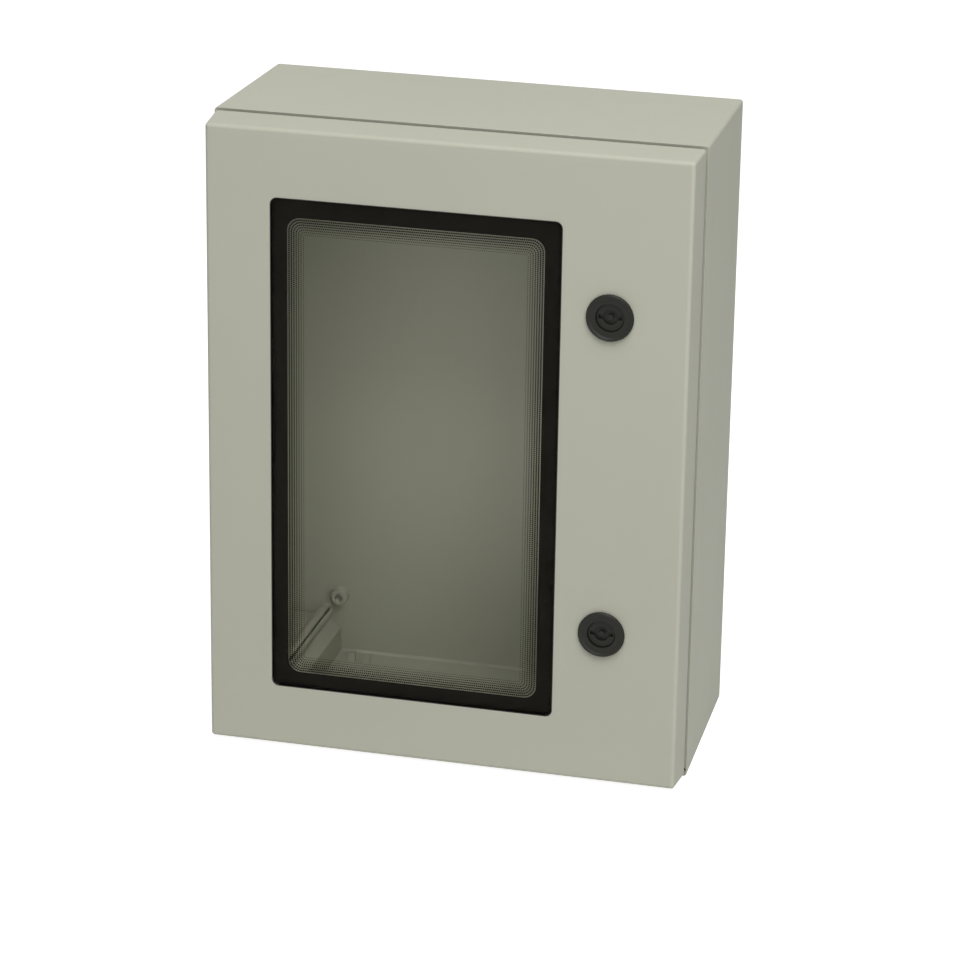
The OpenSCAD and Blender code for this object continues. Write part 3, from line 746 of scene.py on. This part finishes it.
# Window bond: a bed of black adhesive between the print and the door's ledge, squeezed up into
# the gap round the pane.
bond_black = grained("bond_black", (paint(20, 20, 19), paint(27, 27, 25)), roughness=(0.5, 0.7),
                     grain_size=0.8 * MM, grain_depth=0.02 * MM, drift_size=0.02)
bond_w = 7.5 * MM
bead_inset = 0.05 * MM
bond_profile = [
    (bond_w, bond_low.y, pane_corner_r),
    (bond_w, bond_high.y, pane_corner_r),
    (-pane_gap, bond_high.y, pane_corner_r + pane_gap),
    (-pane_gap, face_y + bead_inset, pane_corner_r + pane_gap),
    (0, face_y + 2 * bead_inset, pane_corner_r),
    (0, bond_low.y, pane_corner_r),
]
bond = skin("window_bond_bead", [outline_ring(pane_middle, pane_w, pane_h, inset, depth, radius)
                                 for inset, depth, radius in bond_profile], closed=True)
dress(shade(bond), "door", "bond_black", bond_black, "window_bond")

# Door gasket: a foamed-in-place ring of soft black rubber between the door's two ribs, with a
# round crown that the case's collar presses into.
gasket_foam = grained("gasket_foam", (paint(38, 38, 36), paint(50, 50, 47)), roughness=(0.75, 0.95),
                      grain_size=0.9 * MM, grain_depth=0.12 * MM, drift_size=0.03)
crown_r = 3 * MM
gasket_profile = rounded([
    (gasket_side, gasket_low.y, collar_corner_r + gasket_w, 0),
    (gasket_side + gasket_w, gasket_low.y, collar_corner_r, 0),
    (gasket_side + gasket_w, gasket_high.y, collar_corner_r, crown_r),
    (gasket_side, gasket_high.y, collar_corner_r + gasket_w, crown_r),
], steps=8)
gasket = skin("door_seal_foam", [outline_ring((0, 0), case_w, case_h, inset, depth, radius)
                                 for inset, depth, radius in gasket_profile], closed=True)
dress(shade(gasket), "door", "gasket_foam", gasket_foam, "door_gasket")

# Rim buffer: a tiny pip of the same rubber, pressed on to the rim's edge at its lower corner on
# the lock side, where the door closes on it.
buffer_low, buffer_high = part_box("rim_buffer")
buffer_r = (buffer_high.x - buffer_low.x) / 2
buffer_at = ((buffer_low.x + buffer_high.x) / 2, (buffer_low.z + buffer_high.z) / 2)
tip_r = 0.35 * buffer_r
shoulder_r = 0.75 * buffer_r
shoulder_drop = 0.2 * buffer_r
side_drop = 0.7 * buffer_r
pip = turned("rim_rubber_buffer", buffer_at, 1, [
    (tip_r, buffer_low.y, 0, 0), (shoulder_r, buffer_low.y + shoulder_drop, 0, 0),
    (buffer_r, buffer_low.y + side_drop, 0, 0), (buffer_r, buffer_high.y, 0, 0)], count=24)
dress(shade(pip), "case", "gasket_foam", gasket_foam, "rim_buffer")

# Hinge leaves and their screws: pressed steel, zinc-plated, each screwed to a pad inside the
# door with two countersunk screws.
leaf_edge = 0.25 * MM
screw_edge = 0.1 * MM
for level in ("upper", "lower"):
    leaf = worked_copy("hinge_leaf_" + level, "hinge_steel_leaf_" + level, leaf_edge)
    dress(shade(leaf), "door", "plated_steel", plated_steel, "hinge_leaf_" + level)
    screws = worked_copy("leaf_screws_" + level, "hinge_screws_" + level, screw_edge)
    dress(shade(screws), "door", "plated_steel", plated_steel, "leaf_screws_" + level)

# Locks: a black housing with a dished flange and a threaded barrel goes through the door on a
# thin seal, and a plastic nut holds it. The insert with the key socket turns in it and carries
# a plated steel cam, held by a washer and a screw.
lock_black = grained("lock_black", (paint(29, 30, 25), paint(35, 36, 31)), roughness=(0.36, 0.46),
                     grain_size=0.35 * MM, grain_depth=0.004 * MM, drift_size=0.01, specular=0.18)
barrel_r = 11 * MM
thread_pitch = 1.5 * MM
thread_depth = 0.55 * MM
thread_turns = 22
bore_r = 8.4 * MM
shaft_r = 6.05 * MM
head_depth = 13.2 * MM
mouth_r = 8.7 * MM
mouth_depth = 3.4 * MM
mouth_lip_drop = 0.85 * MM
mouth_edge = 0.15 * MM
dish_r = 11.8 * MM
dish_drop = 0.8 * MM
dish_blend = 0.8 * MM
crest_in_r = 13.1 * MM
crest_out_r = 13.7 * MM
crest_blend = 0.35 * MM
flange_drop = 1 * MM
flange_edge = 0.3 * MM
flange_back_edge = 0.2 * MM
barrel_edge = 0.3 * MM
seal_edge = 0.2 * MM
nut_edge = 0.5 * MM
insert_edge = 0.3 * MM
insert_face_edge = 0.2 * MM
insert_recess = 2.6 * MM
socket_r = 7 * MM
socket_depth = 2 * MM
socket_floor_t = 1 * MM
cam_pieces = (("lock_cam_", "lock_steel_cam_", 0.3 * MM), ("cam_washer_", "lock_washer_", 0.15 * MM),
              ("cam_screw_", "lock_screw_", 0.25 * MM))
for level in ("upper", "lower"):
    housing_low, housing_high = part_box("lock_housing_" + level)
    seal_low, seal_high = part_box("lock_seal_" + level)
    lock_at = ((housing_low.x + housing_high.x) / 2, (housing_low.z + housing_high.z) / 2)
    flange_r = (housing_high.x - housing_low.x) / 2
    front = housing_low.y
    flange_back = seal_low.y
    barrel_end = housing_high.y
    thread = []
    for turn in range(thread_turns):
        crest = seal_high.y + (turn + 0.5) * thread_pitch
        thread += [(barrel_r, crest, 0, 0), (barrel_r - thread_depth, crest + thread_pitch / 2, 0, 0)]
    housing = turned("lock_case_" + level, lock_at, 1, [
        (bore_r, front + mouth_depth, 0, 0),
        (mouth_r, front + mouth_depth, 0, 0),
        (mouth_r, front + mouth_lip_drop, 0, mouth_edge),
        (dish_r, front + dish_drop, 0, dish_blend),
        (crest_in_r, front, 0, crest_blend),
        (crest_out_r, front, 0, flange_edge),
        (flange_r, front + flange_drop, 0, flange_edge),
        (flange_r, flange_back, 0, flange_back_edge),
        (barrel_r, flange_back, 0, 0),
        *thread,
        (barrel_r - thread_depth, barrel_end, 0, 0),
        (shaft_r, barrel_end, 0, barrel_edge),
        (shaft_r, front + head_depth, 0, 0),
        (bore_r, front + head_depth, 0, 0),
    ], closed=True, count=72)
    dress(shade(housing), "door", "lock_black", lock_black, "lock_housing_" + level)
    seal = worked_copy("lock_seal_" + level, "lock_rubber_seal_" + level, seal_edge)
    dress(shade(seal), "door", "gasket_foam", gasket_foam, "lock_seal_" + level)
    nut = worked_copy("lock_nut_" + level, "lock_plastic_nut_" + level, nut_edge)
    dress(shade(nut), "door", "lock_black", lock_black, "lock_nut_" + level)
    turning = level + "_lock"
    insert = worked_copy("lock_insert_" + level, "lock_key_insert_" + level, insert_edge)
    insert_front = front + insert_recess
    face_cut = block("face_cut", (lock_at[0] - bore_r, front - cut_past, lock_at[1] - bore_r),
                     (lock_at[0] + bore_r, insert_front, lock_at[1] + bore_r))
    soften(combine(insert, "DIFFERENCE", face_cut), insert_face_edge)
    socket_floor = turned("socket_floor", lock_at, 1, [
        (socket_r, insert_front + socket_depth, 0, 0),
        (socket_r, insert_front + socket_depth + socket_floor_t, 0, 0)])
    combine(insert, "UNION", socket_floor)
    dress(shade(insert), turning, "lock_black", lock_black, "lock_insert_" + level)
    for node, name, edge in cam_pieces:
        piece = worked_copy(node + level, name + level, edge)
        dress(shade(piece), turning, "plated_steel", plated_steel, node + level)

# Studio: a white floor that runs far back, an even white surround, a large soft lamp high in front
# on the right, a weaker one lower on the same side and a faint one behind on the left. All three
# face the middle of the case. A lamp is given by its place and its power.
floor_size = 16
floor_t = 0.02
floor_bounce = 0.79
floor_shadow = 0.45
floor_glow = 0.9
surround_level = 0.092
lamps = {"top_softbox": ((0.457, -1.232, 2.296), 72.5), "side_softbox": ((1.57, -1.972, 0.889), 13.2),
         "back_softbox": ((-1.69, 2.02, 0.2), 10)}
lamp_size = 1.8
lamp_aim = Vector((0, -0.1, 0))


def plain_view(tree):
    """1 for the rays that show the white background as it is: camera, glossy and transmission rays."""
    path = tree.nodes.new("ShaderNodeLightPath")
    seen = path.outputs["Is Camera Ray"]
    for kind in ("Is Glossy Ray", "Is Transmission Ray"):
        most = tree.nodes.new("ShaderNodeMath")
        most.operation = "MAXIMUM"
        tree.links.new(seen, most.inputs[0])
        tree.links.new(path.outputs[kind], most.inputs[1])
        seen = most.outputs[0]
    return seen


floor = block("floor", (-floor_size, -floor_size, cad_low.z - floor_t), (floor_size, floor_size, cad_low.z))
white = bpy.data.materials.new("studio_white")
white.use_nodes = True
white.cycles.emission_sampling = "NONE"
nodes = white.node_tree.nodes
links = white.node_tree.links
bounce = nodes["Principled BSDF"]
bounce.inputs["Base Color"].default_value = (floor_bounce, floor_bounce, floor_bounce, 1)
bounce.inputs["Roughness"].default_value = 1
bounce.inputs["Specular IOR Level"].default_value = 0
shadow = nodes.new("ShaderNodeBsdfDiffuse")
shadow.inputs["Color"].default_value = (floor_shadow, floor_shadow, floor_shadow, 1)
glow = nodes.new("ShaderNodeEmission")
glow.inputs["Strength"].default_value = floor_glow
both = nodes.new("ShaderNodeAddShader")
choose = nodes.new("ShaderNodeMixShader")
links.new(shadow.outputs["BSDF"], both.inputs[0])
links.new(glow.outputs["Emission"], both.inputs[1])
links.new(plain_view(white.node_tree), choose.inputs["Fac"])
links.new(bounce.outputs["BSDF"], choose.inputs[1])
links.new(both.outputs["Shader"], choose.inputs[2])
links.new(choose.outputs["Shader"], nodes["Material Output"].inputs["Surface"])
floor.data.materials.append(white)

world = bpy.data.worlds.new("surround")
bpy.context.scene.world = world
world.use_nodes = True
nodes = world.node_tree.nodes
links = world.node_tree.links
nodes["Background"].inputs["Color"].default_value = (1, 1, 1, 1)
nodes["Background"].inputs["Strength"].default_value = surround_level
shown = nodes.new("ShaderNodeBackground")
shown.inputs["Color"].default_value = (1, 1, 1, 1)
shown.inputs["Strength"].default_value = 1
choose = nodes.new("ShaderNodeMixShader")
links.new(plain_view(world.node_tree), choose.inputs["Fac"])
links.new(nodes["Background"].outputs["Background"], choose.inputs[1])
links.new(shown.outputs["Background"], choose.inputs[2])
links.new(choose.outputs["Shader"], nodes["World Output"].inputs["Surface"])

for name, (place, energy) in lamps.items():
    lamp_data = bpy.data.lights.new(name, "AREA")
    lamp_data.shape = "SQUARE"
    lamp_data.size = lamp_size
    lamp_data.energy = energy
    lamp = bpy.data.objects.new(name, lamp_data)
    bpy.context.scene.collection.objects.link(lamp)
    lamp.location = place
    lamp.rotation_mode = "QUATERNION"
    lamp.rotation_quaternion = (lamp_aim - lamp.location).to_track_quat("-Z", "Y")

# Camera: at the photograph's viewing angle, slightly from the right and above, with a long lens
# that looks at a point a little below the middle of the case.
camera_turn = math.radians(13.853)
camera_rise = math.radians(20.43)
camera_roll = math.radians(0.892)
camera_distance = 2.39055
camera_target = Vector((-0.00144, -0.05, -0.04761))
sensor_mm = 36
lens_mm = 142.994
camera_data = bpy.data.cameras.new("camera")
camera_data.sensor_width = sensor_mm
camera_data.lens = lens_mm
camera = bpy.data.objects.new("camera", camera_data)
bpy.context.scene.collection.objects.link(camera)
back = Vector((math.sin(camera_turn) * math.cos(camera_rise),
               -math.cos(camera_turn) * math.cos(camera_rise), math.sin(camera_rise)))
right = back.cross(Vector((0, 0, -1))).normalized()
up = back.cross(right)
turn = Matrix((right, up, back)).transposed() @ Matrix.Rotation(camera_roll, 3, "Z")
camera.matrix_world = Matrix.Translation(camera_target + back * camera_distance) @ turn.to_4x4()
bpy.context.scene.camera = camera
bpy.context.scene.view_settings.view_transform = "Standard"
